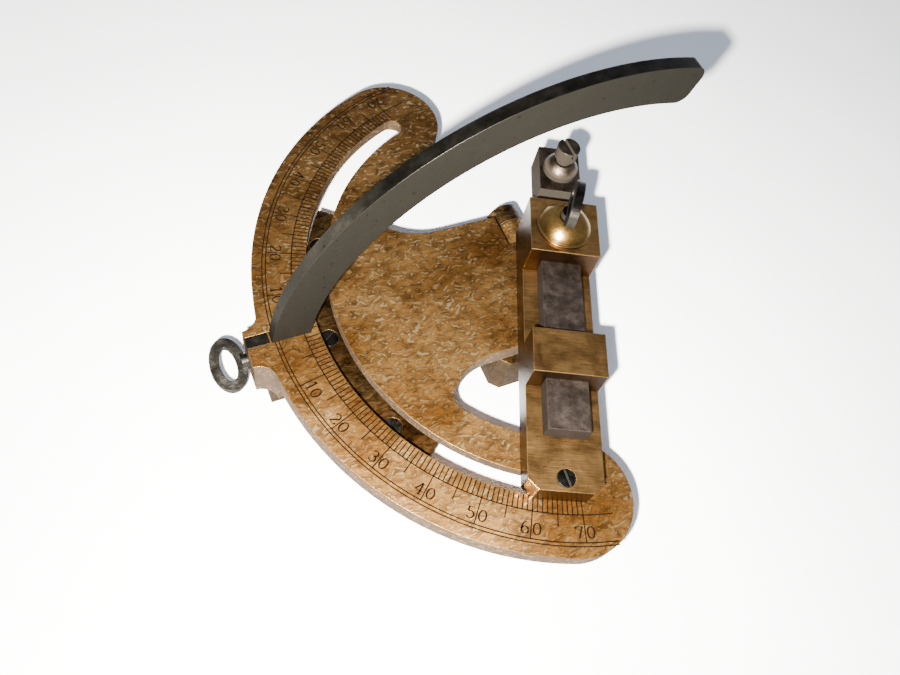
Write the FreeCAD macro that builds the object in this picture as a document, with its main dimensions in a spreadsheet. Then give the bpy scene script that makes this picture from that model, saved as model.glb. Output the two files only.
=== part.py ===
import FreeCAD, Part
import math
import os
import Sketcher
from FreeCAD import Placement, Rotation, Vector

# A two-way angle-setting jig. A divided sector is hinged on a low under-frame and slides up a steel
# quadrant blade, and an arm on the sector carries a steel bar. Millimetres. The origin is on the table,
# under the arm's pivot. -X runs along the sector's zero line, and +Z is up.

doc = FreeCAD.newDocument("angle_jig")
sheet = doc.addObject("Spreadsheet::Sheet", "dims")

DIMENSIONS = {
    # the sector plate
    "rim_radius": 72.7,
    "horn_inner_radius": 46.4,
    "horn_end_angle": 68.8,
    "plate_top": 18.5,
    "plate_thick": 4.9,
    "slot_outer_radius": 60.1,
    "slot_inner_radius": 55.2,
    "slot_end_angle": 68.0,
    "shoe_rebate_width": 8.0,
    "shoe_rebate_depth": 2.0,
    "web_half_width": 18.2,
    "web_side_length": 24.0,
    "web_rear_edge": 7.1,
    "cutout_corner_radius": 3.6,
    "cutout_corner_angle": 38.0,
    "hub_radius": 9.0,
    # the lug and its mortise
    "lug_half_width": 4.7,
    "lug_depth": 11.4,
    "lug_root_radius": 60.6,
    "lug_fillet": 4.2,
    "key_depth": 4.4,
    "key_length": 5.0,
    # the hinge
    "hinge_back": 0.6,
    "hinge_height": 10.6,
    "barrel_radius": 4.4,
    "barrel_neck": 9.0,
    "hinge_pin_radius": 1.6,
    "knuckle_gap": 0.3,
    "knuckle_end": 23.4,
    # the quadrant blade
    "blade_outer_radius": 70.6,
    "blade_width": 8.8,
    "blade_thick": 2.9,
    "blade_root_angle": 188.2,
    "blade_tip_angle": 76.0,
    "blade_tip_radius": 2.6,
    # the under-frame
    "frame_top": 13.2,
    "frame_half_width": 20.0,
    "frame_front": 21.0,
    "frame_floor": 5.2,
    "frame_chamfer": 2.2,
    "heel": 1.2,
    "block_back": 10.5,
    "spine_half_width": 8.0,
    "spine_bottom": 4.0,
    "bar_screw_place": 57.5,
    "socket_back": 56.0,
    "bar_outer_radius": 60.2,
    "bar_inner_radius": 49.6,
    "bar_half_angle": 37.0,
    "bar_thick": 4.2,
    "socket_front": 73.4,
    "socket_half_width": 6.0,
    "socket_bottom": 0.6,
    "socket_top": 6.8,
    "foot_angle": 26.5,
    "foot_pitch_radius": 57.5,
    "foot_top": 9.0,
    "foot_radius": 3.9,
    "foot_waist_radius": 2.8,
    "foot_flange": 1.5,
    # the arm
    "arm_reading": 65.3,
    "arm_lift": 0.1,
    "arm_thick": 5.9,
    "arm_half_width": 8.3,
    "arm_end": 60.6,
    "arm_tail": 9.4,
    "arm_end_chamfer": 2.3,
    "strap_start": 26.2,
    "strap_end": 36.9,
    "strap_top": 13.3,
    "clamp_start": -9.4,
    "clamp_end": 6.0,
    "clamp_top": 14.4,
    "clamp_screw_place": -2.0,
    "shoe_place": 57.65,
    "index_screw_radius": 2.0,
    # the pivot stud
    "stud_radius": 2.5,
    "stud_depth": 5.6,
    "stud_journal_radius": 3.0,
    "stud_head_radius": 4.4,
    "stud_head_thick": 1.15,
    # the bar and its end block
    "tool_bar_width": 9.5,
    "tool_bar_thick": 4.2,
    "tool_bar_start": -27.6,
    "tool_bar_end": 48.6,
    "end_block_length": 13.9,
    "end_block_start": -27.6,
    "end_block_bottom": 5.0,
    "end_block_width": 10.3,
    "end_block_top": 12.9,
    "collar_radius": 4.3,
    "collar_height": 3.4,
    "block_screw_radius": 2.75,
    # the ring-headed screws
    "ring_across": 6.4,
    "ring_along": 4.1,
    "ring_width": 2.3,
    "ring_thick": 2.0,
    "shank_radius": 1.5,
    "boss_radius": 6.9,
    "boss_height": 3.5,
    # small screws and pads
    "blade_screw_height": 3.8,
    "blade_screw_radius": 1.1,
    "blade_screw_seat": 1.3,
    "inner_screw_place": 52.6,
    "frame_screw_radius": 1.2,
    "frame_screw_head": 2.2,
    "frame_screw_seat": 1.2,
    "frame_screw_depth": 4.0,
    "box_screw_spread": 6.55,
    "box_screw_radius": 0.9,
    "box_screw_seat": 1.0,
    "box_screw_grip": 4.0,
    "pad_thick": 1.6,
    "lug_ring_turn": 12.0,
    "thumb_ring_turn": -12.0,
    "clamp_pad_radius": 2.6,
    "clamp_pad_thick": 0.8,
    "clamp_travel": 1.8,
    "index_shank_radius": 1.1,
    "index_head_thick": 1.0,
    "block_neck_height": 1.7,
    "block_head_thick": 3.2,
    "block_slot_turn": 24.0,
    # clearances
    "slide_clearance": 0.06,
    "bore_clearance": 0.04,
    "blade_clearance": 0.15,
}

for row, (alias, value) in enumerate(DIMENSIONS.items(), start=1):
    sheet.set(f"A{row}", alias)
    sheet.set(f"B{row}", str(value))
    sheet.setAlias(f"B{row}", alias)
doc.recompute()


def size(alias):
    """The value of one cell, for places that are worked out in code."""
    return float(getattr(sheet, alias))


HINGE = Vector(-size("hinge_back"), 0, size("hinge_height"))
PLATE_TOP = size("plate_top")
BLADE_INNER = size("blade_outer_radius") - size("blade_width")
ARM_TOP = size("arm_lift") + size("arm_thick")
ARM_ANGLE = 180 + size("arm_reading")
ARM_PLACE = Placement(Vector(0, 0, PLATE_TOP), Rotation(Vector(0, 0, 1), ARM_ANGLE))
LEVEL = Placement()
Z_AXIS = Vector(0, 0, 1)
finished = []


# ---- helpers: bodies, sketches and features ----

def new_body(name, place=LEVEL):
    """An empty PartDesign body whose label is the node's name."""
    body = doc.addObject("PartDesign::Body", name)
    body.Label = name
    body.Placement = place
    finished.append(body)
    return body


def origin_plane(body, role):
    """One of the body's own three origin planes."""
    return next(item for item in body.Origin.OriginFeatures if item.Role == role)


def new_sketch(body, name, role="XY_Plane", height=None):
    """A sketch on an origin plane, lifted along the plane's normal by an expression."""
    sketch = body.newObject("Sketcher::SketchObject", name)
    sketch.AttachmentSupport = [(origin_plane(body, role), "")]
    sketch.MapMode = "FlatFace"
    if height is not None:
        sketch.setExpression(".AttachmentOffset.Base.z", height)
    doc.recompute()
    return sketch


def join_ends(sketch, first, count, closed=True):
    """Make each piece of an outline meet the next."""
    for step in range(count if closed else count - 1):
        here = first + step
        after = first + (step + 1) % count
        sketch.addConstraint(Sketcher.Constraint("Coincident", here, 2, after, 1))


def draw_circle(sketch, across, up, radius):
    """A circle whose place and radius are expressions."""
    circle = sketch.addGeometry(Part.Circle(Vector(1, 1, 0), Z_AXIS, 1))
    for kind, expression in (("DistanceX", across), ("DistanceY", up)):
        place = sketch.addConstraint(Sketcher.Constraint(kind, -1, 1, circle, 3, 1.0))
        sketch.setExpression(f"Constraints[{place}]", expression)
    width = sketch.addConstraint(Sketcher.Constraint("Radius", circle, 1.0))
    sketch.setExpression(f"Constraints[{width}]", radius)


def draw_box(sketch, left, right, low, high):
    """An upright rectangle whose four sides are expressions."""
    corners = [Vector(1, 1, 0), Vector(2, 1, 0), Vector(2, 2, 0), Vector(1, 2, 0)]
    sides = [Part.LineSegment(a, b) for a, b in zip(corners, corners[1:] + corners[:1])]
    first = sketch.addGeometry(sides)[0]
    join_ends(sketch, first, len(sides))
    for side, kind in enumerate(("Horizontal", "Vertical", "Horizontal", "Vertical")):
        sketch.addConstraint(Sketcher.Constraint(kind, first + side))
    limits = (("DistanceX", 0, left), ("DistanceX", 2, right), ("DistanceY", 0, low), ("DistanceY", 2, high))
    for kind, side, expression in limits:
        index = sketch.addConstraint(Sketcher.Constraint(kind, -1, 1, first + side, 1, 1.0))
        sketch.setExpression(f"Constraints[{index}]", expression)


def draw_outline(sketch, pieces):
    """A closed outline of lines and arcs, each given from its start to its end."""
    first = sketch.addGeometry(pieces)[0]
    for index in range(first, first + len(pieces)):
        sketch.addConstraint(Sketcher.Constraint("Block", index))


def polygon(points):
    """The sides of a closed polygon through (x, y) points."""
    corners = [Vector(x, y, 0) for x, y in points]
    return [Part.LineSegment(a, b) for a, b in zip(corners, corners[1:] + corners[:1])]


def feature(body, kind, sketch, length=None, upward=True, both=False):
    """Pad or pocket a sketch by an expression, along its normal or against it."""
    made = body.newObject(f"PartDesign::{kind}", f"{body.Name}_{kind}")
    made.Profile = sketch
    if kind in ("Pad", "Pocket"):
        made.setExpression("Length", length)
        made.Midplane = both
        made.Reversed = not upward
    sketch.Visibility = False
    doc.recompute()
    return made


def pad(body, sketch, length, both=False):
    return feature(body, "Pad", sketch, length, both=both)


def pocket(body, sketch, length, upward=True, both=False):
    """Cut along the sketch's normal when upward, otherwise against it."""
    return feature(body, "Pocket", sketch, length, upward=not upward, both=both)


def turn(body, sketch, kind="Revolution", axis="V_Axis"):
    """Turn a sketch a full circle about one of its own axes."""
    made = feature(body, kind, sketch)
    made.ReferenceAxis = (sketch, [axis])
    made.Angle = 360
    doc.recompute()
    return made


def turned_piece(name, place, profile):
    """A piece turned about its own Z axis from half a section of (radius, height) points."""
    body = new_body(name, place)
    sketch = new_sketch(body, f"{name}_section", "XZ_Plane")
    draw_outline(sketch, polygon(profile))
    turn(body, sketch)
    return body


def fuse(name, shapes, place=LEVEL):
    """A Part::Feature for a piece that needs a plain union of shapes."""
    made = doc.addObject("Part::Feature", name)
    made.Label = name
    solid = shapes[0].multiFuse(shapes[1:]) if len(shapes) > 1 else shapes[0]
    made.Shape = solid.removeSplitter()
    made.Placement = place
    finished.append(made)
    return made


def point(radius, angle):
    """A plan point at a radius, its angle read clockwise in plan from the zero line."""
    return Vector(-radius * math.cos(math.radians(angle)), -radius * math.sin(math.radians(angle)), 0)


def arc(radius, start, end):
    """An arc about the sector's centre between two readings."""
    return Part.Arc(point(radius, start), point(radius, (start + end) / 2), point(radius, end))


def blend(centre, radius, first, last):
    """An arc about a centre that starts and ends towards two directions, the short way round."""
    start = Vector(first).normalize()
    end = Vector(last).normalize()
    middle = (start + end).normalize()
    return Part.Arc(centre + start * radius, centre + middle * radius, centre + end * radius)


def mirrored(pieces):
    """The outline's other half, reflected in the zero line."""
    copies = []
    for piece in pieces:
        first, last = piece.FirstParameter, piece.LastParameter
        ends = [piece.value(place) for place in (first, (first + last) / 2, last)]
        start, middle, end = [Vector(place.x, -place.y, 0) for place in ends]
        straight = isinstance(piece, Part.LineSegment)
        copies.append(Part.LineSegment(start, end) if straight else Part.Arc(start, middle, end))
    return copies


# ---- the sector plate: divided rim, arc slot, web, hub, barrel and lug ----

RIM = size("rim_radius")
HORN = size("horn_inner_radius")
LUG_Y = size("lug_half_width")
FILLET = size("lug_fillet")
LUG_X = math.sqrt((RIM + FILLET) ** 2 - (LUG_Y + FILLET) ** 2)
FILLET_CENTRE = Vector(-LUG_X, -LUG_Y - FILLET, 0)
RIM_START = math.degrees(math.asin((LUG_Y + FILLET) / (RIM + FILLET)))


def horn_end():
    """The half-round end of one horn."""
    angle = size("horn_end_angle")
    along = Vector(math.sin(math.radians(angle)), -math.cos(math.radians(angle)), 0)
    outer = point(RIM, angle)
    inner = point(HORN, angle)
    return Part.Arc(outer, (outer + inner) / 2 + along * (RIM - HORN) / 2, inner)


def cutout_side():
    """The edge of the open bay between horn and web, from the horn round to the web's rear corner."""
    corner = size("cutout_corner_radius")
    angle = size("cutout_corner_angle")
    corner_centre = point(HORN - corner, angle)
    web_y = -size("web_half_width")
    web_x = -size("web_side_length")
    # The curve out of the straight side touches that side and the corner's circle.
    across = corner_centre.x - web_x
    drop = web_y - corner_centre.y
    sweep = (across ** 2 + drop ** 2 - corner ** 2) / (2 * (drop - corner))
    sweep_centre = Vector(web_x, web_y - sweep, 0)
    towards = corner_centre - sweep_centre
    touch = sweep_centre + Vector(towards).normalize() * sweep
    rear = Vector(-size("web_rear_edge"), web_y, 0)
    return [
        arc(HORN, size("horn_end_angle"), angle),
        blend(corner_centre, corner, point(1, angle), touch - corner_centre),
        blend(sweep_centre, sweep, towards, Vector(0, 1, 0)),
        Part.LineSegment(Vector(web_x, web_y, 0), rear),
        Part.LineSegment(rear, Vector(rear.x, -size("hub_radius"), 0)),
        Part.LineSegment(Vector(rear.x, -size("hub_radius"), 0), Vector(0, -size("hub_radius"), 0)),
    ]


def plate_outline():
    half = [
        blend(FILLET_CENTRE, FILLET, Vector(0, 1, 0), -FILLET_CENTRE),
        arc(RIM, RIM_START, size("horn_end_angle")),
        horn_end(),
    ] + cutout_side()
    hub = size("hub_radius")
    lug_end = Part.LineSegment(Vector(-LUG_X, LUG_Y, 0), Vector(-LUG_X, -LUG_Y, 0))
    hub_end = Part.Arc(Vector(0, -hub, 0), Vector(hub, 0, 0), Vector(0, hub, 0))
    return half + mirrored(half) + [lug_end, hub_end]


def slot_outline(width):
    """An arc slot of a width, about the middle radius of the shoe's slot, with round ends."""
    middle = (size("slot_outer_radius") + size("slot_inner_radius")) / 2
    end = size("slot_end_angle")
    outer = middle + width / 2
    inner = middle - width / 2
    pieces = [arc(outer, -end, end), arc(inner, -end, end)]
    for side in (-1, 1):
        along = Vector(math.sin(math.radians(end)), -side * math.cos(math.radians(end)), 0)
        centre = point(middle, side * end)
        pieces.append(Part.Arc(point(outer, side * end), centre + along * width / 2, point(inner, side * end)))
    return pieces


def blade_strip(inner, outer, start, end):
    """The outline, in X and Z, of a strip of the circle about the hinge axis."""
    def place(radius, angle):
        turn_by = math.radians(angle)
        return Vector(HINGE.x + radius * math.cos(turn_by), HINGE.z + radius * math.sin(turn_by), 0)
    middle = (start + end) / 2
    return [
        Part.Arc(place(outer, start), place(outer, middle), place(outer, end)),
        Part.LineSegment(place(outer, end), place(inner, end)),
        Part.Arc(place(inner, end), place(inner, middle), place(inner, start)),
        Part.LineSegment(place(inner, start), place(outer, start)),
    ]


def build_sector():
    body = new_body("sector_plate")
    outline = new_sketch(body, "plate_outline", height="dims.plate_top - dims.plate_thick")
    draw_outline(outline, plate_outline())
    pad(body, outline, "dims.plate_thick")

    lug = new_sketch(body, "lug_outline", height="dims.plate_top - dims.lug_depth")
    rim_corner = point(RIM, RIM_START)
    root = Vector(-size("lug_root_radius"), -LUG_Y, 0)
    half = [
        blend(FILLET_CENTRE, FILLET, Vector(0, 1, 0), -FILLET_CENTRE),
        Part.LineSegment(rim_corner, root),
    ]
    ends = [
        Part.LineSegment(Vector(-LUG_X, LUG_Y, 0), Vector(-LUG_X, -LUG_Y, 0)),
        Part.LineSegment(root, Vector(root.x, LUG_Y, 0)),
    ]
    draw_outline(lug, half + mirrored(half) + ends)
    pad(body, lug, "dims.lug_depth")

    barrel = new_sketch(body, "barrel_section", "XZ_Plane")
    draw_circle(barrel, "-dims.hinge_back", "dims.hinge_height", "dims.barrel_radius")
    pad(body, barrel, "2 * dims.web_half_width", both=True)
    neck = new_sketch(body, "neck_section", "XZ_Plane")
    draw_box(neck, "-dims.barrel_neck", "-dims.hinge_back", "dims.hinge_height - dims.barrel_radius",
             "dims.plate_top - dims.plate_thick")
    pad(body, neck, "2 * dims.web_half_width", both=True)
    bore = new_sketch(body, "pin_bore", "XZ_Plane")
    draw_circle(bore, "-dims.hinge_back", "dims.hinge_height", "dims.hinge_pin_radius + dims.bore_clearance")
    pocket(body, bore, "3 * dims.web_half_width", both=True)

    slot = new_sketch(body, "shoe_slot", height="dims.plate_top")
    draw_outline(slot, slot_outline(size("slot_outer_radius") - size("slot_inner_radius")))
    pocket(body, slot, "dims.plate_thick", upward=False)
    rebate = new_sketch(body, "shoe_rebate", height="dims.plate_top - dims.plate_thick")
    draw_outline(rebate, slot_outline(size("shoe_rebate_width")))
    pocket(body, rebate, "dims.shoe_rebate_depth", upward=True)

    # The blade's mortise follows the blade's own circle, so that it stays clear at every tilt.
    mortise = new_sketch(body, "blade_mortise", "XZ_Plane", "-dims.blade_thick - dims.slide_clearance")
    clear = size("blade_clearance")
    draw_outline(mortise, blade_strip(BLADE_INNER - clear, size("blade_outer_radius") + clear, 160, 200))
    pocket(body, mortise, "dims.blade_thick + 2 * dims.slide_clearance", upward=True)
    key = new_sketch(body, "key_slot", height="dims.plate_top")
    draw_box(key, f"{-LUG_X - 1}", f"{-LUG_X} + dims.key_length + dims.blade_clearance",
             "0", "dims.blade_thick")
    pocket(body, key, "dims.key_depth", upward=False)

    screw = new_sketch(body, "screw_bore", "YZ_Plane", f"{-LUG_X}")
    draw_circle(screw, "dims.blade_thick / 2", "dims.hinge_height", "dims.shank_radius + dims.bore_clearance")
    pocket(body, screw, "dims.lug_fillet + 3", upward=True)
    stud = new_sketch(body, "stud_bore", height="dims.plate_top")
    draw_circle(stud, "0", "0", "dims.stud_radius")
    pocket(body, stud, "dims.stud_depth", upward=False)
    return body


# ---- the under-frame: hinge block, spine, socket, cross bar, feet and the quadrant blade ----

def build_frame():
    body = new_body("base_frame")
    half = size("frame_half_width")
    front = size("frame_front")
    chamfer = size("frame_chamfer")
    heel = size("heel")
    block = new_sketch(body, "block_plan")
    draw_outline(block, polygon([
        (heel, -half), (heel, half), (-front + chamfer, half), (-front, half - chamfer),
        (-front, chamfer - half), (-front + chamfer, -half),
    ]))
    pad(body, block, "dims.frame_top")

    cheek = new_sketch(body, "knuckle_foot", "XZ_Plane")
    draw_box(cheek, "-dims.hinge_back - dims.barrel_radius", "dims.barrel_radius - dims.hinge_back", "0",
             "dims.hinge_height")
    pad(body, cheek, "2 * dims.knuckle_end", both=True)
    knuckle = new_sketch(body, "knuckle_section", "XZ_Plane")
    draw_circle(knuckle, "-dims.hinge_back", "dims.hinge_height", "dims.barrel_radius")
    pad(body, knuckle, "2 * dims.knuckle_end", both=True)

    # The room that the sector's barrel and hub sweep through between the two knuckles.
    room = new_sketch(body, "barrel_room", "XZ_Plane")
    beyond = heel + 3 * size("barrel_radius")
    over = PLATE_TOP
    floor = size("frame_floor")
    draw_outline(room, polygon([
        (-size("block_back"), floor), (heel, floor), (heel, -floor), (beyond, -floor),
        (beyond, over), (-size("block_back"), over),
    ]))
    pocket(body, room, "2 * (dims.web_half_width + dims.knuckle_gap)", both=True)
    bore = new_sketch(body, "pin_bore", "XZ_Plane")
    draw_circle(bore, "-dims.hinge_back", "dims.hinge_height", "dims.hinge_pin_radius")
    pocket(body, bore, "3 * dims.knuckle_end", both=True)

    spine = new_sketch(body, "spine_plan", height="dims.spine_bottom")
    draw_box(spine, "-dims.bar_outer_radius", "-dims.block_back - 1", "-dims.spine_half_width",
             "dims.spine_half_width")
    pad(body, spine, "dims.foot_top - dims.spine_bottom")
    socket = new_sketch(body, "socket_plan", height="dims.socket_bottom")
    draw_box(socket, "-dims.socket_front", "-dims.socket_back", "-dims.socket_half_width",
             "dims.socket_half_width")
    pad(body, socket, "dims.socket_top - dims.socket_bottom")

    mortise = new_sketch(body, "blade_mortise", "XZ_Plane", "-dims.blade_thick")
    draw_outline(mortise, blade_strip(BLADE_INNER, size("blade_outer_radius"), 170, 200))
    pocket(body, mortise, "dims.blade_thick", upward=True)
    holes = new_sketch(body, "blade_screw_holes", "XZ_Plane")
    for place in BLADE_SCREWS:
        draw_circle(holes, f"{place}", "dims.blade_screw_height", "dims.blade_screw_radius")
    pocket(body, holes, "3 * dims.socket_half_width", both=True)
    heads = new_sketch(body, "blade_screw_seats", "XZ_Plane", "dims.socket_half_width")
    for place in BLADE_SCREWS:
        draw_circle(heads, f"{place}", "dims.blade_screw_height", "1.7 * dims.blade_screw_radius")
    pocket(body, heads, "dims.blade_screw_seat", upward=False)
    tap = new_sketch(body, "bar_screw_holes", height="dims.foot_top")
    for across, up in BAR_SCREWS:
        draw_circle(tap, across, up, "dims.frame_screw_radius")
    pocket(body, tap, "dims.frame_screw_depth", upward=False)
    return body


def build_arc_bar():
    """The curved cross bar on the spine, with a countersunk hole for each of its four screws."""
    body = new_body("arc_bar")
    plan = new_sketch(body, "bar_plan", height="dims.foot_top")
    end = size("bar_half_angle")
    outer = size("bar_outer_radius")
    inner = size("bar_inner_radius")
    draw_outline(plan, [
        arc(outer, -end, end),
        Part.LineSegment(point(outer, end), point(inner, end)),
        arc(inner, end, -end),
        Part.LineSegment(point(inner, -end), point(outer, -end)),
    ])
    pad(body, plan, "dims.bar_thick")
    holes = new_sketch(body, "bar_holes", height="dims.foot_top + dims.bar_thick")
    seats = new_sketch(body, "bar_seats", height="dims.foot_top + dims.bar_thick")
    for across, up in BAR_SCREWS + FOOT_SCREWS:
        draw_circle(holes, across, up, "dims.frame_screw_radius")
        draw_circle(seats, across, up, "dims.frame_screw_head")
    pocket(body, holes, "dims.bar_thick", upward=False)
    pocket(body, seats, "dims.frame_screw_seat", upward=False)
    return body


def build_feet():
    """Two turned posts under the bar, each tapped from above."""
    radius = size("foot_radius")
    top = size("foot_top")
    waist = size("foot_waist_radius")
    flange = size("foot_flange")
    hole = size("frame_screw_radius")
    depth = size("frame_screw_depth")
    section = [
        (0, 0), (radius, 0), (radius, flange), (waist, flange), (waist, top - flange),
        (radius, top - flange), (radius, top), (hole, top), (hole, top - depth), (0, top - depth),
    ]
    for name, side in (("upper_foot", -1), ("lower_foot", 1)):
        place = point(size("foot_pitch_radius"), side * size("foot_angle"))
        turned_piece(name, Placement(place, Rotation()), section)


def slotted_screw(length, radius, head_radius, head_thick, slot_width):
    """A slotted screw along +Z with its head's underside at zero and its shank below."""
    shank = Part.makeCylinder(radius, length, Vector(0, 0, -length))
    head = Part.makeCylinder(head_radius, head_thick)
    slot = Part.makeBox(3 * head_radius, slot_width, head_thick, Vector(-1.5 * head_radius, -slot_width / 2,
                                                                        0.55 * head_thick))
    return shank.fuse(head).cut(slot).removeSplitter()


def crown(wide, low, narrow, high):
    """The arc of a turned dome between two heights: its centre is on the axis, so it sweeps a sphere."""
    middle = (high * high + narrow * narrow - low * low - wide * wide) / (2 * (high - low))
    reach = math.hypot(wide, low - middle)
    lean = (math.atan2(low - middle, wide) + math.atan2(high - middle, narrow)) / 2
    between = Vector(reach * math.cos(lean), middle + reach * math.sin(lean), 0)
    return Part.Arc(Vector(wide, low, 0), between, Vector(narrow, high, 0))


def placed(shape, where, rotation=Rotation()):
    """A copy of a shape at another place."""
    copy = shape.copy()
    copy.Placement = Placement(where, rotation)
    return copy


def build_frame_screws():
    seat = size("frame_screw_seat")
    screw = slotted_screw(size("bar_thick") - seat + size("frame_screw_depth") - 0.4,
                          size("frame_screw_radius"), size("frame_screw_head") - size("slide_clearance"),
                          seat - 0.1, 0.6)
    height = size("foot_top") + size("bar_thick") - seat
    group("bar_screws", [placed(screw, Vector(-size(place), 0, height), Rotation(Z_AXIS, 35))
                         for place in ("bar_screw_place", "inner_screw_place")])
    for_feet = [point(size("foot_pitch_radius"), side * size("foot_angle")) for side in (-1, 1)]
    group("foot_screws", [placed(screw, place + Vector(0, 0, height), Rotation(Z_AXIS, 60))
                          for place in for_feet])
    half = size("socket_half_width")
    screw = slotted_screw(2 * half - size("blade_screw_seat"), size("blade_screw_radius"),
                          1.7 * size("blade_screw_radius") - size("slide_clearance"),
                          size("blade_screw_seat") - 0.1, 0.5)
    facing = Rotation(Vector(1, 0, 0), 90)
    seat_y = size("blade_screw_seat") - half
    group("blade_screws", [placed(screw, Vector(place, seat_y, size("blade_screw_height")), facing)
                           for place in BLADE_SCREWS])


def group(name, solids, place=LEVEL):
    """Identical fasteners as separate solids in one node."""
    made = doc.addObject("Part::Feature", name)
    made.Label = name
    made.Shape = Part.makeCompound(solids)
    made.Placement = place
    finished.append(made)


def build_hinge_pin():
    pin = doc.addObject("Part::Cylinder", "hinge_pin")
    pin.Label = "hinge_pin"
    pin.setExpression("Radius", "dims.hinge_pin_radius")
    pin.setExpression("Height", "2 * dims.knuckle_end")
    pin.Placement = Placement(HINGE + Vector(0, size("knuckle_end"), 0), Rotation(Vector(1, 0, 0), 90))
    finished.append(pin)


def build_blade():
    """The quadrant blade: a strip of a circle about the hinge, with a rounded tip and a screwed root."""
    body = new_body("quadrant_blade")
    strip = new_sketch(body, "blade_side", "XZ_Plane", "-dims.blade_thick")
    draw_outline(strip, blade_strip(BLADE_INNER, size("blade_outer_radius"), size("blade_tip_angle"),
                                    size("blade_root_angle")))
    pad(body, strip, "dims.blade_thick")
    plain = body.Tip
    tip = math.radians(size("blade_tip_angle"))
    corners = []
    for index, edge in enumerate(plain.Shape.Edges, start=1):
        middle = edge.CenterOfMass - HINGE
        at_tip = abs(math.atan2(middle.z, middle.x) - tip) < 0.001
        at_corner = min(abs(middle.Length - BLADE_INNER), abs(middle.Length - size("blade_outer_radius"))) < 0.1
        if at_tip and at_corner:
            corners.append(f"Edge{index}")
    rounding = body.newObject("PartDesign::Fillet", "tip_rounding")
    rounding.Base = (plain, corners)
    rounding.setExpression("Radius", "dims.blade_tip_radius")
    doc.recompute()
    holes = new_sketch(body, "blade_holes", "XZ_Plane")
    for place in BLADE_SCREWS:
        draw_circle(holes, f"{place}", "dims.blade_screw_height", "dims.blade_screw_radius")
    pocket(body, holes, "3 * dims.blade_thick", both=True)
    return body


BLADE_SCREWS = [-size("socket_front") + share * (size("socket_front") - size("socket_back"))
                for share in (0.3, 0.52)]
BAR_SCREWS = [("-dims.bar_screw_place", "0"), ("-dims.inner_screw_place", "0")]
FOOT_SCREWS = [(f"-dims.foot_pitch_radius * cos({size('foot_angle')} deg)",
                f"{side} * dims.foot_pitch_radius * sin({size('foot_angle')} deg)") for side in (-1, 1)]


# ---- on the sector: key, stud, and the lug's ring-headed screw with its pad ----

def oval_ring(name, place, neck, shank):
    """A ring-headed screw along its own +Z: flat oval ring, neck, and a shank reaching down from zero.

    neck is the height of the ring's centre above zero, and shank the length below zero.
    """
    body = new_body(name, place)
    ring = new_sketch(body, f"{name}_ring", "XZ_Plane")
    across = size("ring_across")
    along = size("ring_along")
    width = size("ring_width")
    centre = Vector(0, neck, 0)
    for grow in (0, -width):
        wide = centre + Vector(across + grow, 0, 0)
        tall = centre + Vector(0, along + grow, 0)
        sketch_oval = Part.Ellipse(wide, tall, centre)
        index = ring.addGeometry(sketch_oval)
        ring.addConstraint(Sketcher.Constraint("Block", index))
    pad(body, ring, "dims.ring_thick", both=True)
    section = new_sketch(body, f"{name}_shank", "XZ_Plane")
    collar = size("shank_radius") + 0.5
    foot = neck - along + width / 2
    draw_outline(section, polygon([
        (0, -shank), (size("shank_radius"), -shank), (size("shank_radius"), 0), (collar, 0),
        (collar, foot), (0, foot),
    ]))
    turn(body, section)
    return body


def build_lug_parts():
    lift = Vector(0, size("blade_thick") / 2, size("hinge_height"))
    outwards = Rotation(Vector(0, 1, 0), -90)
    pad_back = HINGE.x - size("blade_outer_radius") - 0.06
    pad_front = pad_back - size("pad_thick")
    lug_end = -LUG_X
    shank = pad_front - lug_end - 0.02
    ring_turn = Rotation(Vector(1, 0, 0), 90 + size("lug_ring_turn"))
    oval_ring("lug_screw", Placement(Vector(lug_end, 0, 0) + lift, ring_turn.multiply(outwards)),
              size("ring_along") + 0.35, shank)
    plug = doc.addObject("Part::Cylinder", "lug_pad")
    plug.Label = "lug_pad"
    plug.setExpression("Radius", "dims.shank_radius")
    plug.setExpression("Height", "dims.pad_thick")
    plug.Placement = Placement(Vector(pad_back, 0, 0) + lift, outwards)
    finished.append(plug)

    body = new_body("lug_key")
    plan = new_sketch(body, "key_plan", height="dims.plate_top")
    draw_box(plan, f"{-LUG_X}", f"{-LUG_X} + dims.key_length", "0", "dims.blade_thick")
    feature(body, "Pad", plan, "dims.key_depth", upward=False)


def build_pivot_stud():
    depth = size("stud_depth")
    seat = ARM_TOP - size("stud_head_thick") - 0.15
    head = size("stud_head_radius")
    journal = size("stud_journal_radius")
    turned_piece("pivot_stud", Placement(Vector(0, 0, PLATE_TOP), Rotation()), [
        (0, -depth), (size("stud_radius"), -depth), (size("stud_radius"), 0), (journal, 0), (journal, seat),
        (head, seat), (head, seat + size("stud_head_thick")), (0, seat + size("stud_head_thick")),
    ])


# ---- the arm, built along its own +X from the pivot towards the scale ----

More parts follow.
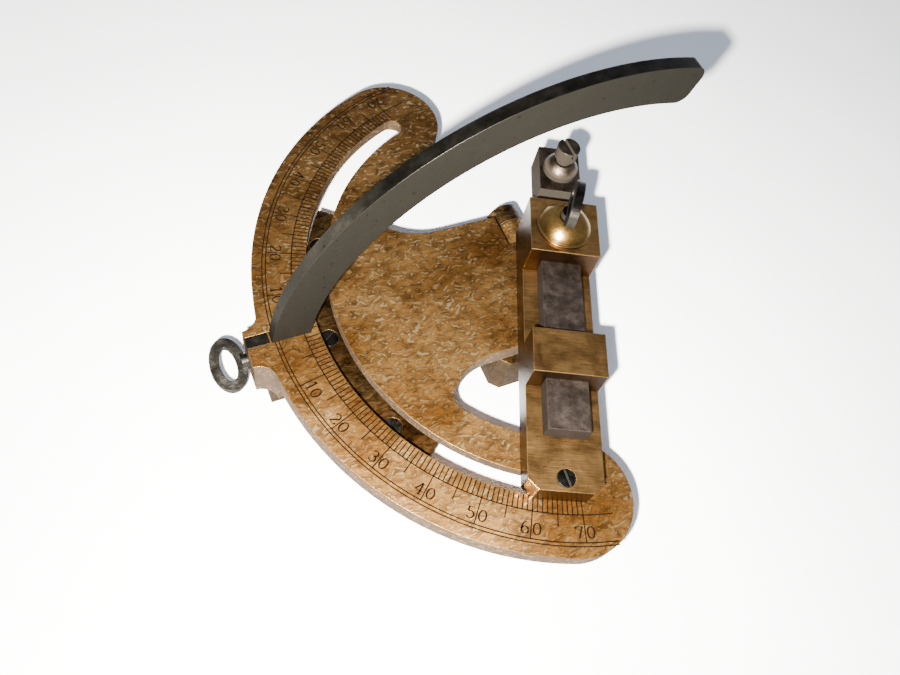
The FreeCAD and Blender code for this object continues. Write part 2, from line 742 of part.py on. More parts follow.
def build_arm():
    body = new_body("arm", ARM_PLACE)
    plan = new_sketch(body, "arm_plan", height="dims.arm_lift")
    half = size("arm_half_width")
    end = size("arm_end")
    tail = size("arm_tail")
    cut = size("arm_end_chamfer")
    draw_outline(plan, polygon([
        (-tail, -half), (end - cut, -half), (end, cut - half), (end, half - cut), (end - cut, half),
        (-tail, half),
    ]))
    pad(body, plan, "dims.arm_thick")
    journal = new_sketch(body, "journal_bore", height="dims.arm_lift")
    draw_circle(journal, "0", "0", "dims.stud_journal_radius + dims.bore_clearance")
    pocket(body, journal, "dims.arm_thick", upward=True)
    seat = new_sketch(body, "head_seat", height="dims.arm_lift + dims.arm_thick")
    draw_circle(seat, "0", "0", "dims.stud_head_radius + 0.2")
    pocket(body, seat, "dims.stud_head_thick + 0.2", upward=False)
    holes = new_sketch(body, "screw_holes", height="dims.arm_lift")
    for along, across in BOX_SCREWS:
        draw_circle(holes, f"{along}", f"{across}", "dims.box_screw_radius")
    pocket(body, holes, "dims.arm_thick", upward=True)
    seats = new_sketch(body, "screw_seats", height="dims.arm_lift")
    for along, across in BOX_SCREWS:
        draw_circle(seats, f"{along}", f"{across}", "1.6 * dims.box_screw_radius")
    pocket(body, seats, "dims.box_screw_seat", upward=True)
    index = new_sketch(body, "index_screw_hole", height="dims.arm_lift")
    draw_circle(index, "dims.shoe_place", "0", "dims.index_shank_radius")
    pocket(body, index, "dims.arm_thick", upward=True)
    sink = new_sketch(body, "index_screw_seat", height="dims.arm_lift + dims.arm_thick")
    draw_circle(sink, "dims.shoe_place", "0", "dims.index_screw_radius + dims.slide_clearance")
    pocket(body, sink, "dims.index_head_thick", upward=False)
    return body


def build_box(name, start, end, top, screw_bore):
    """A bridge over the bar: a block with a tunnel along the arm."""
    body = new_body(name, ARM_PLACE)
    plan = new_sketch(body, f"{name}_plan", height="dims.arm_lift + dims.arm_thick")
    draw_box(plan, start, end, "-dims.arm_half_width", "dims.arm_half_width")
    pad(body, plan, f"{top} - dims.arm_lift - dims.arm_thick")
    tunnel = new_sketch(body, f"{name}_tunnel", "YZ_Plane", start)
    draw_box(tunnel, "-dims.tool_bar_width / 2 - dims.slide_clearance",
             "dims.tool_bar_width / 2 + dims.slide_clearance", "dims.arm_lift",
             "dims.arm_lift + dims.arm_thick + dims.tool_bar_thick + 2 * dims.slide_clearance")
    pocket(body, tunnel, f"{end} - ({start})", upward=True)
    if screw_bore:
        bore = new_sketch(body, f"{name}_tapped_hole", height=top)
        draw_circle(bore, "dims.clamp_screw_place", "0", "dims.shank_radius + dims.bore_clearance")
        pocket(body, bore, "dims.boss_height + 2", upward=False)
        room = new_sketch(body, f"{name}_pad_room", height="dims.arm_lift + dims.arm_thick")
        draw_circle(room, "dims.clamp_screw_place", "0", "dims.clamp_pad_radius + 0.2")
        pocket(body, room, "dims.tool_bar_thick + dims.clamp_pad_thick + dims.clamp_travel", upward=True)
    holes = new_sketch(body, f"{name}_screw_holes", height="dims.arm_lift + dims.arm_thick")
    low = size(start.split(".")[1])
    high = size(end.split(".")[1])
    for along, across in BOX_SCREWS:
        if low < along < high:
            draw_circle(holes, f"{along}", f"{across}", "dims.box_screw_radius")
    pocket(body, holes, "dims.box_screw_grip", upward=True)
    return body


def build_arm_parts():
    head = size("box_screw_seat") - 0.1
    screw = slotted_screw(size("arm_thick") - head + size("box_screw_grip") - 0.5, size("box_screw_radius"),
                          1.6 * size("box_screw_radius") - size("slide_clearance"), head, 0.4)
    over = Rotation(Vector(1, 0, 0), 180)
    seat = size("arm_lift") + size("box_screw_seat")
    screws = [placed(screw, Vector(along, across, seat), over) for along, across in BOX_SCREWS]
    group("box_screws", screws, ARM_PLACE)

    radius = size("boss_radius")
    height = size("boss_height")
    bore = size("shank_radius") + size("bore_clearance")
    boss = new_body("domed_boss", ARM_PLACE.multiply(
        Placement(Vector(size("clamp_screw_place"), 0, size("clamp_top")), Rotation())))
    section = new_sketch(boss, "boss_section", "XZ_Plane")
    rim = 0.5
    neck = 0.36 * radius
    dome = crown(radius - rim, rim, neck, height)
    corners = [(neck, height), (bore, height), (bore, 0), (radius, 0), (radius, rim), (radius - rim, rim)]
    path = [Vector(x, y, 0) for x, y in corners]
    draw_outline(section, [dome] + [Part.LineSegment(a, b) for a, b in zip(path, path[1:])])
    turn(boss, section)

    clear = size("slide_clearance")
    bar_top = ARM_TOP + size("tool_bar_thick") + clear
    pad_low = bar_top + 0.04
    pad_high = pad_low + size("clamp_pad_thick")
    pad_radius = size("clamp_pad_radius")
    at_clamp = ARM_PLACE.multiply(Placement(Vector(size("clamp_screw_place"), 0, 0), Rotation()))
    turned_piece("clamp_pad", at_clamp, [
        (0, pad_low), (pad_radius, pad_low), (pad_radius, pad_high), (0, pad_high),
    ])
    boss_top = size("clamp_top") + height
    turned = Rotation(Z_AXIS, size("thumb_ring_turn"))
    thumb = ARM_PLACE.multiply(Placement(Vector(size("clamp_screw_place"), 0, boss_top + 0.1), turned))
    oval_ring("thumb_screw", thumb, size("ring_along") + 0.3, boss_top + 0.1 - pad_high - 0.02)

    wide = (size("slot_outer_radius") - size("slot_inner_radius")) / 2 - clear
    flange = size("shoe_rebate_width") / 2 - 0.15
    thread = size("index_shank_radius")
    low = -size("plate_thick") + 0.1
    ledge = -size("plate_thick") + size("shoe_rebate_depth") - clear
    at_shoe = ARM_PLACE.multiply(Placement(Vector(size("shoe_place"), 0, 0), Rotation()))
    turned_piece("slot_shoe", at_shoe, [
        (thread, low), (flange, low), (flange, ledge), (wide, ledge), (wide, size("arm_lift")),
        (thread, size("arm_lift")),
    ])
    head = size("index_head_thick")
    index = slotted_screw(ARM_TOP - head - low - 0.3, thread, size("index_screw_radius"), head + 0.25, 0.6)
    fuse("index_screw", [index], at_shoe.multiply(Placement(Vector(0, 0, ARM_TOP - head),
                                                            Rotation(Z_AXIS, 20))))


def build_bar_parts():
    body = new_body("tool_bar", ARM_PLACE)
    plan = new_sketch(body, "bar_plan", height="dims.arm_lift + dims.arm_thick + dims.slide_clearance")
    draw_box(plan, "dims.tool_bar_start", "dims.tool_bar_end", "-dims.tool_bar_width / 2",
             "dims.tool_bar_width / 2")
    pad(body, plan, "dims.tool_bar_thick")

    block = new_body("end_block", ARM_PLACE)
    plan = new_sketch(block, "block_plan", height="dims.end_block_bottom")
    draw_box(plan, "dims.end_block_start", "dims.end_block_start + dims.end_block_length",
             "-dims.end_block_width / 2", "dims.end_block_width / 2")
    pad(block, plan, "dims.end_block_top - dims.end_block_bottom")
    tunnel = new_sketch(block, "block_tunnel", "YZ_Plane", "dims.end_block_start")
    draw_box(tunnel, "-dims.tool_bar_width / 2 - dims.slide_clearance",
             "dims.tool_bar_width / 2 + dims.slide_clearance", "dims.arm_lift + dims.arm_thick",
             "dims.arm_lift + dims.arm_thick + dims.tool_bar_thick + 2 * dims.slide_clearance")
    pocket(block, tunnel, "dims.end_block_length", upward=True)
    tapped = new_sketch(block, "block_tapped_hole", height="dims.end_block_top")
    draw_circle(tapped, "dims.end_block_start + dims.end_block_length / 2", "0",
                "dims.shank_radius + dims.bore_clearance")
    pocket(block, tapped, "dims.end_block_top - dims.arm_thick - dims.tool_bar_thick", upward=False)

    top = size("end_block_top")
    along = size("end_block_start") + size("end_block_length") / 2
    at_block = ARM_PLACE.multiply(Placement(Vector(along, 0, top), Rotation()))
    radius = size("collar_radius")
    height = size("collar_height")
    bore = size("shank_radius") + size("bore_clearance")
    collar = new_body("block_collar", at_block)
    section = new_sketch(collar, "collar_section", "XZ_Plane")
    rim = 0.55 * radius
    shoulder = crown(radius, 0.4 * height, rim, height)
    corners = [(rim, height), (bore, height), (bore, 0), (radius, 0), (radius, 0.4 * height)]
    path = [Vector(x, y, 0) for x, y in corners]
    draw_outline(section, [shoulder] + [Part.LineSegment(a, b) for a, b in zip(path, path[1:])])
    turn(collar, section)

    bar_top = ARM_TOP + size("slide_clearance") + size("tool_bar_thick")
    neck = size("block_neck_height")
    screw = slotted_screw(top + height + neck - bar_top - 0.05, size("shank_radius"),
                          size("block_screw_radius"), size("block_head_thick"), 0.75)
    sleeve = Part.makeCylinder(size("shank_radius") + 0.4, neck - 0.05, Vector(0, 0, 0.05 - neck))
    fuse("block_screw", [screw, sleeve], at_block.multiply(
        Placement(Vector(0, 0, height + neck), Rotation(Z_AXIS, size("block_slot_turn")))))


BOX_SCREWS = [(along, side * size("box_screw_spread"))
              for along in ((size("strap_start") + size("strap_end")) / 2,
                            (size("clamp_start") + size("clamp_end")) / 2)
              for side in (-1, 1)]

build_frame()
build_arc_bar()
build_feet()
build_frame_screws()
build_hinge_pin()
build_blade()
build_sector()
build_lug_parts()
build_pivot_stud()
build_arm()
build_box("strap_box", "dims.strap_start", "dims.strap_end", "dims.strap_top", False)
build_box("clamp_box", "dims.clamp_start", "dims.clamp_end", "dims.clamp_top", True)
build_arm_parts()
build_bar_parts()


# ---- check every object, then write one STEP file for each piece ----

doc.recompute()
for item in doc.Objects:
    if "Invalid" in item.State or "Error" in item.State:
        raise RuntimeError(f"{item.Name} is in state {item.State}")
for piece in finished:
    if piece.Shape.isNull() or not piece.Shape.isValid():
        raise RuntimeError(f"{piece.Label} has no valid shape")

os.makedirs("parts", exist_ok=True)
for piece in finished:
    piece.Shape.exportStep(os.path.join("parts", f"{piece.Label}.step"))
    print(piece.Label, round(piece.Shape.Volume, 1))
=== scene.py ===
# %% [markdown]
# # A brass bevel protractor with a curved steel blade
# The real tool is a sector of scraped brass, divided from 0 to 70 degrees both ways, that tilts
# on a low under-frame.  A grey steel blade stands up through its lug, and an arm swings over it
# and carries a sliding flat bar.  Every solid comes packed from the CAD model, so this script
# leaves shapes alone and gives each piece its metal, then engraves the scale.

import math

import bpy
import numpy as np
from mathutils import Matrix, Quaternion, Vector


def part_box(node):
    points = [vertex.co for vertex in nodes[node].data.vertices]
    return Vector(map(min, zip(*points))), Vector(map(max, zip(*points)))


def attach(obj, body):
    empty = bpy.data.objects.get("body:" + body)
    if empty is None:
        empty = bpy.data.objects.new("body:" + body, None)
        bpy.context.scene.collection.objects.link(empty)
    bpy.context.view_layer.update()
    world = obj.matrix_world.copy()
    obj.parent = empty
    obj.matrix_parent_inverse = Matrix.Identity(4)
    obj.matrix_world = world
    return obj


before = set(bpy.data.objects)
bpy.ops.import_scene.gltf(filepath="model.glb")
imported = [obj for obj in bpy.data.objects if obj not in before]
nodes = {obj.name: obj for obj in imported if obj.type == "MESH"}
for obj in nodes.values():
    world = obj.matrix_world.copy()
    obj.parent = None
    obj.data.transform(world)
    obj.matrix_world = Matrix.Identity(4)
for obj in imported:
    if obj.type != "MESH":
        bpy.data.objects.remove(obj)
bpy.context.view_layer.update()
print("CAD nodes:", len(nodes))

# %% [markdown]
# All the sizes below are in millimetres, because that is how the tool is drawn, and are turned
# to metres in one place.  The sector's face is the top of its own solid, so it is measured.

# %% Sizes of the divided sector
MM = 0.001
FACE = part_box("sector_plate")[1].z / MM
DIVIDED = 63.5          # radius of the fine circle that the degrees end on
SLOT_EDGE = 60.1        # outer edge of the arc slot, where the degrees start
BORDERS = (69.4, 70.2)  # the double line near the rim
LAST_READING = 70
print("sector face stands at", round(FACE, 2), "mm")

# %% [markdown]
# Colours are written as sRGB hex, as a paint chart gives them, and Blender wants linear light.
# One function makes the change.  One more adds a shader node with its settings and links, and
# the rest are the small groups of nodes that several of the metals share.

# %% Colour and node helpers
def linear(code):
    """sRGB hex to linear RGBA: each channel c becomes ((c + 0.055) / 1.055) to the power 2.4."""
    channels = np.array([int(code[i:i + 2], 16) for i in (1, 3, 5)]) / 255
    bent = np.where(channels <= 0.04045, channels / 12.92, ((channels + 0.055) / 1.055) ** 2.4)
    return (*bent.tolist(), 1.0)


def add(tree, kind, inputs=None, **settings):
    """Adds one shader node, sets its own settings, and fills or links its inputs."""
    node = tree.nodes.new("ShaderNode" + kind)
    for name, value in settings.items():
        setattr(node, name, value)
    for socket, value in (inputs or {}).items():
        if isinstance(value, bpy.types.NodeSocket):
            tree.links.new(value, node.inputs[socket])
        else:
            node.inputs[socket].default_value = value
    return node


def new_material(name):
    """An empty node material with its output, and Object coordinates counted in millimetres."""
    material = bpy.data.materials.new(name)
    material.use_nodes = True
    tree = material.node_tree
    tree.nodes.clear()
    place = add(tree, "TexCoord").outputs["Object"]
    millimetres = add(tree, "Mapping", {"Vector": place, "Scale": (1 / MM,) * 3})
    return material, tree, millimetres.outputs["Vector"]


def ramp(tree, value, *stops):
    """A colour ramp over value: each stop is a position and a hex colour."""
    node = add(tree, "ValToRGB", {"Fac": value})
    while len(node.color_ramp.elements) < len(stops):
        node.color_ramp.elements.new(0.5)
    for element, (position, code) in zip(node.color_ramp.elements, stops):
        element.position = position
        element.color = linear(code)
    return node.outputs["Color"]


def mixed(tree, factor, first, second, blend_type="MIX"):
    """One colour mixed with another, by factor."""
    node = add(tree, "Mix", {0: factor, 6: first, 7: second}, data_type="RGBA",
               blend_type=blend_type)
    return node.outputs[2]


def worn_edge(tree, radius):
    """A bevelled normal, and how far it leans from the true one: 0 on flats, 1 along edges."""
    rounded = add(tree, "Bevel", {"Radius": radius * MM}, samples=4)
    flat = add(tree, "NewGeometry").outputs["Normal"]
    likeness = add(tree, "VectorMath", {0: rounded.outputs["Normal"], 1: flat},
                   operation="DOT_PRODUCT")
    lean = add(tree, "MapRange", {"Value": likeness.outputs["Value"], "From Min": 0.99,
                                  "From Max": 0.86})
    return rounded.outputs["Normal"], lean.outputs["Result"]


def upright(tree):
    """1 on faces that stand upright at rest and 0 on level ones, from the piece's own normal."""
    parts = add(tree, "SeparateXYZ", {0: add(tree, "TexCoord").outputs["Normal"]})
    height = add(tree, "Math", {0: parts.outputs["Z"]}, operation="ABSOLUTE")
    return add(tree, "MapRange", {"Value": height.outputs["Value"], "From Min": 0.75,
                                  "From Max": 0.45}).outputs["Result"]


SIDE_SHADE_COVER = 0.88  # share of an upright face that the painted shade covers
BARE_METAL = 0.06  # how metallic such a face still is


def side_shaded(tree, colour, side_shade):
    """Colour and metal share with painted shade: upright faces take a dark colour and less metal.
    """
    standing = upright(tree)
    metal = add(tree, "MapRange", {"Value": standing, "To Min": 1.0, "To Max": BARE_METAL})
    cover = add(tree, "MapRange", {"Value": standing, "To Max": SIDE_SHADE_COVER})
    return mixed(tree, cover.outputs["Result"], colour, side_shade), metal.outputs["Result"]


def finish(tree, colour, roughness, normal=None, metallic=1.0):
    """A Principled shader and the output, with the maps joined on and no clear gloss."""
    maps = {"Base Color": colour, "Roughness": roughness, "Metallic": metallic,
            "Specular IOR Level": 0.0}
    if normal is not None:
        maps["Normal"] = normal
    shader = add(tree, "BsdfPrincipled", maps)
    add(tree, "OutputMaterial", {"Surface": shader.outputs["BSDF"]})


print("helpers ready; white is", linear("#ffffff"))


# %% [markdown]
# The sector and the brass under it are frosted: the maker scraped little crescents all over the
# face with a hand scraper, so that each one glints its own way.  A noise bent by a slower noise
# gives flecks about a millimetre long, and it works as bump and as roughness, because a fresh
# scrape is smoother than the brass round it.  Where the flecks are highest it also paints the
# colour a pale, shining brass: painted highlights that stand in for the glints of the lamp.  A
# coarser noise gives the darker swirls, and the slowest one the stains.

# %% Frosted brass
SCRAPE_DEPTH = 0.03
SCRAPE_TURN = math.radians(25)  # the way most of the scraping runs


def frosted_brass(name, light, middle, dark, painted_glint, side_shade):
    """Scraped brass: bent noise for swirls and flecks, slow noise for stains, rubbed edges."""
    material, tree, where = new_material(name)
    bend = add(tree, "TexNoise", {"Vector": where, "Scale": 0.3, "Detail": 1.0})
    shift = add(tree, "VectorMath", {0: bend.outputs["Color"], 1: (3.0, 3.0, 0.0)},
                operation="MULTIPLY")
    bent = add(tree, "VectorMath", {0: where, 1: shift.outputs["Vector"]}, operation="ADD")
    laid = add(tree, "Mapping", {"Vector": bent.outputs["Vector"], "Scale": (0.7, 1.5, 1.0),
                                 "Rotation": (0.0, 0.0, SCRAPE_TURN)})
    swirls = add(tree, "TexNoise", {"Vector": laid.outputs["Vector"], "Scale": 0.5,
                                    "Detail": 2.5, "Roughness": 0.55, "Distortion": 0.3})
    flecks = add(tree, "TexNoise", {"Vector": laid.outputs["Vector"], "Scale": 1.15,
                                    "Detail": 1.0, "Roughness": 0.4})
    stains = add(tree, "TexNoise", {"Vector": where, "Scale": 0.06, "Detail": 3.0})
    tone = ramp(tree, swirls.outputs["Fac"], (0.34, dark), (0.5, middle), (0.66, light))
    # Painted highlight: the highest flecks take a pale, shining brass colour in place of real
    # glints.
    glint_share = add(tree, "MapRange", {"Value": flecks.outputs["Fac"], "From Min": 0.57,
                                    "From Max": 0.71})
    tone = mixed(tree, glint_share.outputs["Result"], tone, linear(painted_glint))
    aged = ramp(tree, stains.outputs["Fac"], (0.35, "#b5a48c"), (0.62, "#ffffff"))
    colour = mixed(tree, 1.0, tone, aged, "MULTIPLY")
    rounded, edge = worn_edge(tree, 0.2)
    colour = mixed(tree, edge, colour, linear(light))
    # Painted shade: upright faces take the dark side-shade colour and lose most of their metal.
    colour, metallic = side_shaded(tree, colour, linear(side_shade))
    rough = add(tree, "MapRange", {"Value": flecks.outputs["Fac"], "From Min": 0.45,
                                   "From Max": 0.7, "To Min": 0.45, "To Max": 0.3})
    bump = add(tree, "Bump", {"Height": flecks.outputs["Fac"], "Normal": rounded,
                              "Strength": 1.0, "Distance": SCRAPE_DEPTH * MM})
    finish(tree, colour, rough.outputs["Result"], bump.outputs["Normal"], metallic)
    return material


# The last colour of each brass is painted shade for its upright faces.
SECTOR_BRASS = frosted_brass("scraped brass", "#876336", "#76562f", "#5a4124", "#e6c084",
                             "#2d2823")
UNDER_BRASS = frosted_brass("dull cast brass", "#553f26", "#392a17", "#1d140b", "#6b532f",
                            "#201a13")
print("frosted metals:", SECTOR_BRASS.name, "and", UNDER_BRASS.name)

# %% [markdown]
# The arm and the two boxes on it are filed and drawn brass, rubbed one way and long since
# browned by hands.  Fine lines come from a noise pressed flat along one axis, the brown film
# from a slow noise, and the corners stay paler where they are touched.

# %% Brushed brass
ARM_TURN = math.radians(245.3)  # direction in which the arm points at rest


def brushed_brass(name, light, middle, dark, roughness):
    """Drawn brass: lines 0.2 mm apart along the arm, a slow brown film, and rubbed edges."""
    material, tree, where = new_material(name)
    along = add(tree, "Mapping", {"Vector": where, "Rotation": (0.0, 0.0, -ARM_TURN)})
    pressed = add(tree, "Mapping", {"Vector": along.outputs["Vector"], "Scale": (3.4, 0.12, 3.4)})
    lines = add(tree, "TexNoise", {"Vector": pressed.outputs["Vector"], "Scale": 1.6,
                                   "Detail": 4.0, "Roughness": 0.7})
    film = add(tree, "TexNoise", {"Vector": where, "Scale": 0.16, "Detail": 5.0,
                                  "Roughness": 0.6, "Distortion": 0.4})
    tone = ramp(tree, film.outputs["Fac"], (0.33, dark), (0.5, middle), (0.68, light))
    scored = ramp(tree, lines.outputs["Fac"], (0.3, "#cbbfae"), (0.62, "#ffffff"))
    colour = mixed(tree, 0.6, tone, scored, "MULTIPLY")
    spots = add(tree, "TexNoise", {"Vector": where, "Scale": 1.1, "Detail": 3.0})
    freckle = ramp(tree, spots.outputs["Fac"], (0.27, "#5a4530"), (0.34, "#ffffff"))
    colour = mixed(tree, 0.55, colour, freckle, "MULTIPLY")
    rounded, edge = worn_edge(tree, 0.25)
    colour = mixed(tree, edge, colour, linear("#b8945c"))
    shaded = mixed(tree, 1.0, colour, linear("#756a58"), "MULTIPLY")
    colour = mixed(tree, upright(tree), colour, shaded)
    rough = add(tree, "MapRange", {"Value": lines.outputs["Fac"], "To Min": roughness - 0.12,
                                   "To Max": roughness + 0.14})
    bump = add(tree, "Bump", {"Height": lines.outputs["Fac"], "Normal": rounded,
                              "Strength": 0.5, "Distance": 0.03 * MM})
    finish(tree, colour, rough.outputs["Result"], bump.outputs["Normal"])
    return material


ARM_BRASS = brushed_brass("drawn brass", "#876840", "#6f5431", "#4e3920", 0.36)
BOSS_BRASS = brushed_brass("turned brass", "#b08a4c", "#96733c", "#6d5128", 0.2)
print("brushed metals:", ARM_BRASS.name, "and", BOSS_BRASS.name)

# %% [markdown]
# The steel pieces are old tool steel.  The blade is ground grey with a haze of rust freckles,
# the bar is a darker, purple-brown mill scale with pits, and the screws are nearly black.
# One function makes them all, because they differ only in colour, in gloss, in how deep the
# pits are and in how much of each the rust has taken.

# %% Steel
def old_steel(name, light, middle, dark, rust, side_shade, rust_share, roughness, pit):
    """Tool steel: cloudy grey, rust freckles where a fine noise is high, pits and pale edges."""
    material, tree, where = new_material(name)
    cloud = add(tree, "TexNoise", {"Vector": where, "Scale": 0.28, "Detail": 6.0,
                                   "Roughness": 0.65})
    grain = add(tree, "TexNoise", {"Vector": where, "Scale": 2.2, "Detail": 3.0,
                                   "Roughness": 0.6})
    tone = ramp(tree, cloud.outputs["Fac"], (0.34, dark), (0.5, middle), (0.66, light))
    patch = add(tree, "TexNoise", {"Vector": where, "Scale": 0.65, "Detail": 7.0,
                                   "Roughness": 0.72, "Distortion": 0.3})
    rusted = add(tree, "MapRange", {"Value": patch.outputs["Fac"], "From Min": 0.68 - rust_share,
                                    "From Max": 0.76 - rust_share})
    colour = mixed(tree, rusted.outputs["Result"], tone, linear(rust))
    rounded, edge = worn_edge(tree, 0.2)
    colour = mixed(tree, edge, colour, linear(light))
    # Painted shade with real rust in it: upright faces take the dark fifth colour, rust where the
    # patch noise is high, and are darker still where the cloud noise is high.
    film = mixed(tree, rusted.outputs["Result"], linear(side_shade), linear(rust))
    clouded_shade_and_rust = mixed(tree, cloud.outputs["Fac"], film, linear("#000000"))
    colour, metallic = side_shaded(tree, colour, clouded_shade_and_rust)
    rough = add(tree, "MapRange", {"Value": rusted.outputs["Result"], "To Min": roughness,
                                   "To Max": min(roughness + 0.35, 0.95)})
    bump = add(tree, "Bump", {"Height": grain.outputs["Fac"], "Normal": rounded,
                              "Strength": 0.6, "Distance": pit * MM})
    finish(tree, colour, rough.outputs["Result"], bump.outputs["Normal"], metallic)
    return material


# The fifth colour of each steel is painted shade for its upright faces.
BLADE_STEEL = old_steel("ground tool steel", "#2b2924", "#1e1c18", "#12110d", "#0a0705",
                        "#181714", 0.07, 0.4, 0.05)
BAR_STEEL = old_steel("scaled bar steel", "#514842", "#3b332e", "#26201c", "#1e130f",
                      "#201c19", 0.05, 0.45, 0.09)
BLOCK_STEEL = old_steel("browned steel", "#574c41", "#3e342b", "#241e18", "#2f1d0c",
                        "#33302b", 0.05, 0.38, 0.08)
SCREW_STEEL = old_steel("worn screw steel", "#2f2d29", "#1b1a17", "#0d0c0a", "#180f09",
                        "#292724", 0.09, 0.35, 0.1)
print("steels:", ", ".join(m.name for m in (BLADE_STEEL, BAR_STEEL, BLOCK_STEEL, SCREW_STEEL)))

# %% [markdown]
# Each solid now loses the plain slot it came with and gets one metal for the whole piece.  The
# list is by metal, so a look at it tells which pieces match.

# %% Give every solid its metal
METALS = {
    SECTOR_BRASS: ("sector_plate",),
    UNDER_BRASS: ("base_frame", "arc_bar", "upper_foot", "lower_foot", "lug_pad", "clamp_pad"),
    ARM_BRASS: ("arm", "strap_box", "clamp_box", "slot_shoe"),
    BOSS_BRASS: ("domed_boss",),
    BLADE_STEEL: ("quadrant_blade", "lug_key"),
    BAR_STEEL: ("tool_bar",),
    BLOCK_STEEL: ("end_block", "block_collar", "block_screw"),
    SCREW_STEEL: ("lug_screw", "thumb_screw", "bar_screws", "foot_screws", "blade_screws",
                  "box_screws", "index_screw", "hinge_pin", "pivot_stud"),
}
for metal, names in METALS.items():
    for name in names:
        nodes[name].data.materials.clear()
        nodes[name].data.materials.append(metal)
dressed = [name for names in METALS.values() for name in names]
print("nodes with a metal:", len(dressed), "left over:", sorted(set(nodes) - set(dressed)))

# %% [markdown]
# The scale is cut with a graver and the cuts are filled with black wax.  A cut is far too fine
# to carve into the solid, so each is drawn as its filling: a thin closed strip along a path,
# sunk in the face and proud of it by a hundredth of a millimetre, which catches no light edge.
# All the strips with the same number of points are worked out at once as one array.

# %% Wax and the strip surface
def black_wax():
    """Engraver's black wax: nearly black brown, dull, with dust in it."""
    material, tree, where = new_material("engraver's black wax")
    dust = add(tree, "TexNoise", {"Vector": where, "Scale": 3.0, "Detail": 3.0})
    colour = ramp(tree, dust.outputs["Fac"], (0.35, "#040201"), (0.7, "#120b06"))
    finish(tree, colour, 0.9, metallic=0.0)
    return material


WAX = black_wax()
SUNK, PROUD = 0.05, 0.012  # how deep the filling sits, and how far it stands above the brass


def strips(paths, widths):
    """Corners of square-cut strips, in four rows along each path.

    The tangent is the difference of neighbouring points, its quarter turn is the side, and each
    point gets left and right corners half a width away, above and below the face.
    """
    tangent = np.gradient(paths, axis=1)
    tangent /= np.linalg.norm(tangent, axis=2, keepdims=True)
    side = np.stack([-tangent[..., 1], tangent[..., 0]], axis=2) * widths[..., None] / 2
    rows = []
    for sign, height in ((1, PROUD), (-1, PROUD), (-1, -SUNK), (1, -SUNK)):
        flat = paths + sign * side
        lift = np.full(flat.shape[:2] + (1,), FACE + height)
        rows.append(np.concatenate([flat, lift], axis=2))
    return np.stack(rows, axis=2)


def inlay(name, paths, widths):
    """One mesh of many strips: four walls between neighbouring points and a cap at each end."""
    corners = strips(paths, widths)
    index = np.arange(corners.size // 3).reshape(corners.shape[:3])
    near, far = index[:, :-1], index[:, 1:]
    walls = np.stack([near, far, np.roll(far, -1, 2), np.roll(near, -1, 2)], axis=-1)
    faces = walls.reshape(-1, 4).tolist() + index[:, 0].tolist() + index[:, -1, ::-1].tolist()
    mesh = bpy.data.meshes.new(name)
    mesh.from_pydata((corners.reshape(-1, 3) * MM).tolist(), [], faces)
    mesh.materials.append(WAX)
    piece = bpy.data.objects.new(name, mesh)
    bpy.context.scene.collection.objects.link(piece)
    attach(piece, "sector")
    print(name, "has", len(mesh.polygons), "faces")


def ring_place(radius, reading, side):
    """Where a reading lies: its angle is counted from the lug, on one side of it or the other."""
    angle = np.radians(reading)
    return np.stack([-radius * np.cos(angle), side * radius * np.sin(angle)], axis=-1)


# %% [markdown]
# Every degree has a line from the slot to the fine circle.  The fives go half way on to the
# border and the tens all the way, and the circle and the double border run on past the scale.

# %% Degree lines and circles
TICK_WIDTH = 0.27
TICK_START = SLOT_EDGE + 0.15  # the lines stop just short of the slot's edge
FIVE_END = 66.2
CIRCLE_END = 76                # degrees from the lug at which the circles stop, both ways
CIRCLE_POINTS = 241
degrees = np.arange(1, LAST_READING + 1)
ends = np.where(degrees % 10 == 0, BORDERS[0], np.where(degrees % 5 == 0, FIVE_END, DIVIDED))
spans = np.linspace(0, 1, 2)[None, :, None]
tick_paths = np.concatenate([
    ring_place(np.full(degrees.shape, TICK_START), degrees, side)[:, None] * (1 - spans)
    + ring_place(ends, degrees, side)[:, None] * spans
    for side in (1, -1)])
inlay("degree_lines", tick_paths, np.full(tick_paths.shape[:2], TICK_WIDTH))

sweep = np.linspace(-CIRCLE_END, CIRCLE_END, CIRCLE_POINTS)
circle_paths = np.stack([ring_place(radius, sweep, 1) for radius in (DIVIDED, *BORDERS)])
inlay("scale_circles", circle_paths, np.full(circle_paths.shape[:2], TICK_WIDTH))

# %% [markdown]
# The figures are stamped with punches that have thick uprights, thin crossings and small
# serifs.  Each figure is one to four strokes, and each stroke is part of an ellipse or a
# straight line, on a box one unit high.  A stroke is widest where it runs up and down, so the
# width follows from its direction, as it does with a broad pen.  The two figures of a ten
# straddle its line, except at 10 on the second side, where both stand beside it.

# %% Figures on the scale
STROKE_POINTS = 17
FIGURE_HEIGHT = 2.6
FIGURE_SPAN = 0.72 * FIGURE_HEIGHT
HEAD_RADIUS = 65.9                       # the figures' heads lie on this circle
FOOT_RADIUS = HEAD_RADIUS + FIGURE_HEIGHT
LINE_GAP = 0.374                         # clear space from the first figure to the line
STRADDLE, SIDE_BY_SIDE = 0.704, 0.1      # clear space between the two figures of a ten
BESIDE_GAP = 0.22
THICK, THIN = 0.4, 0.18


def bow(centre, reach, start, end):
    """Part of an ellipse round centre, from one angle in degrees to another."""
    angle = np.radians(np.linspace(start, end, STROKE_POINTS))
    return np.stack([centre[0] + reach[0] * np.cos(angle), centre[1] + reach[1] * np.sin(angle)],
                    axis=-1)


def stroke(start, end):
    """A straight line from one point to another."""
    share = np.linspace(0, 1, STROKE_POINTS)[:, None]
    return np.array(start) * (1 - share) + np.array(end) * share


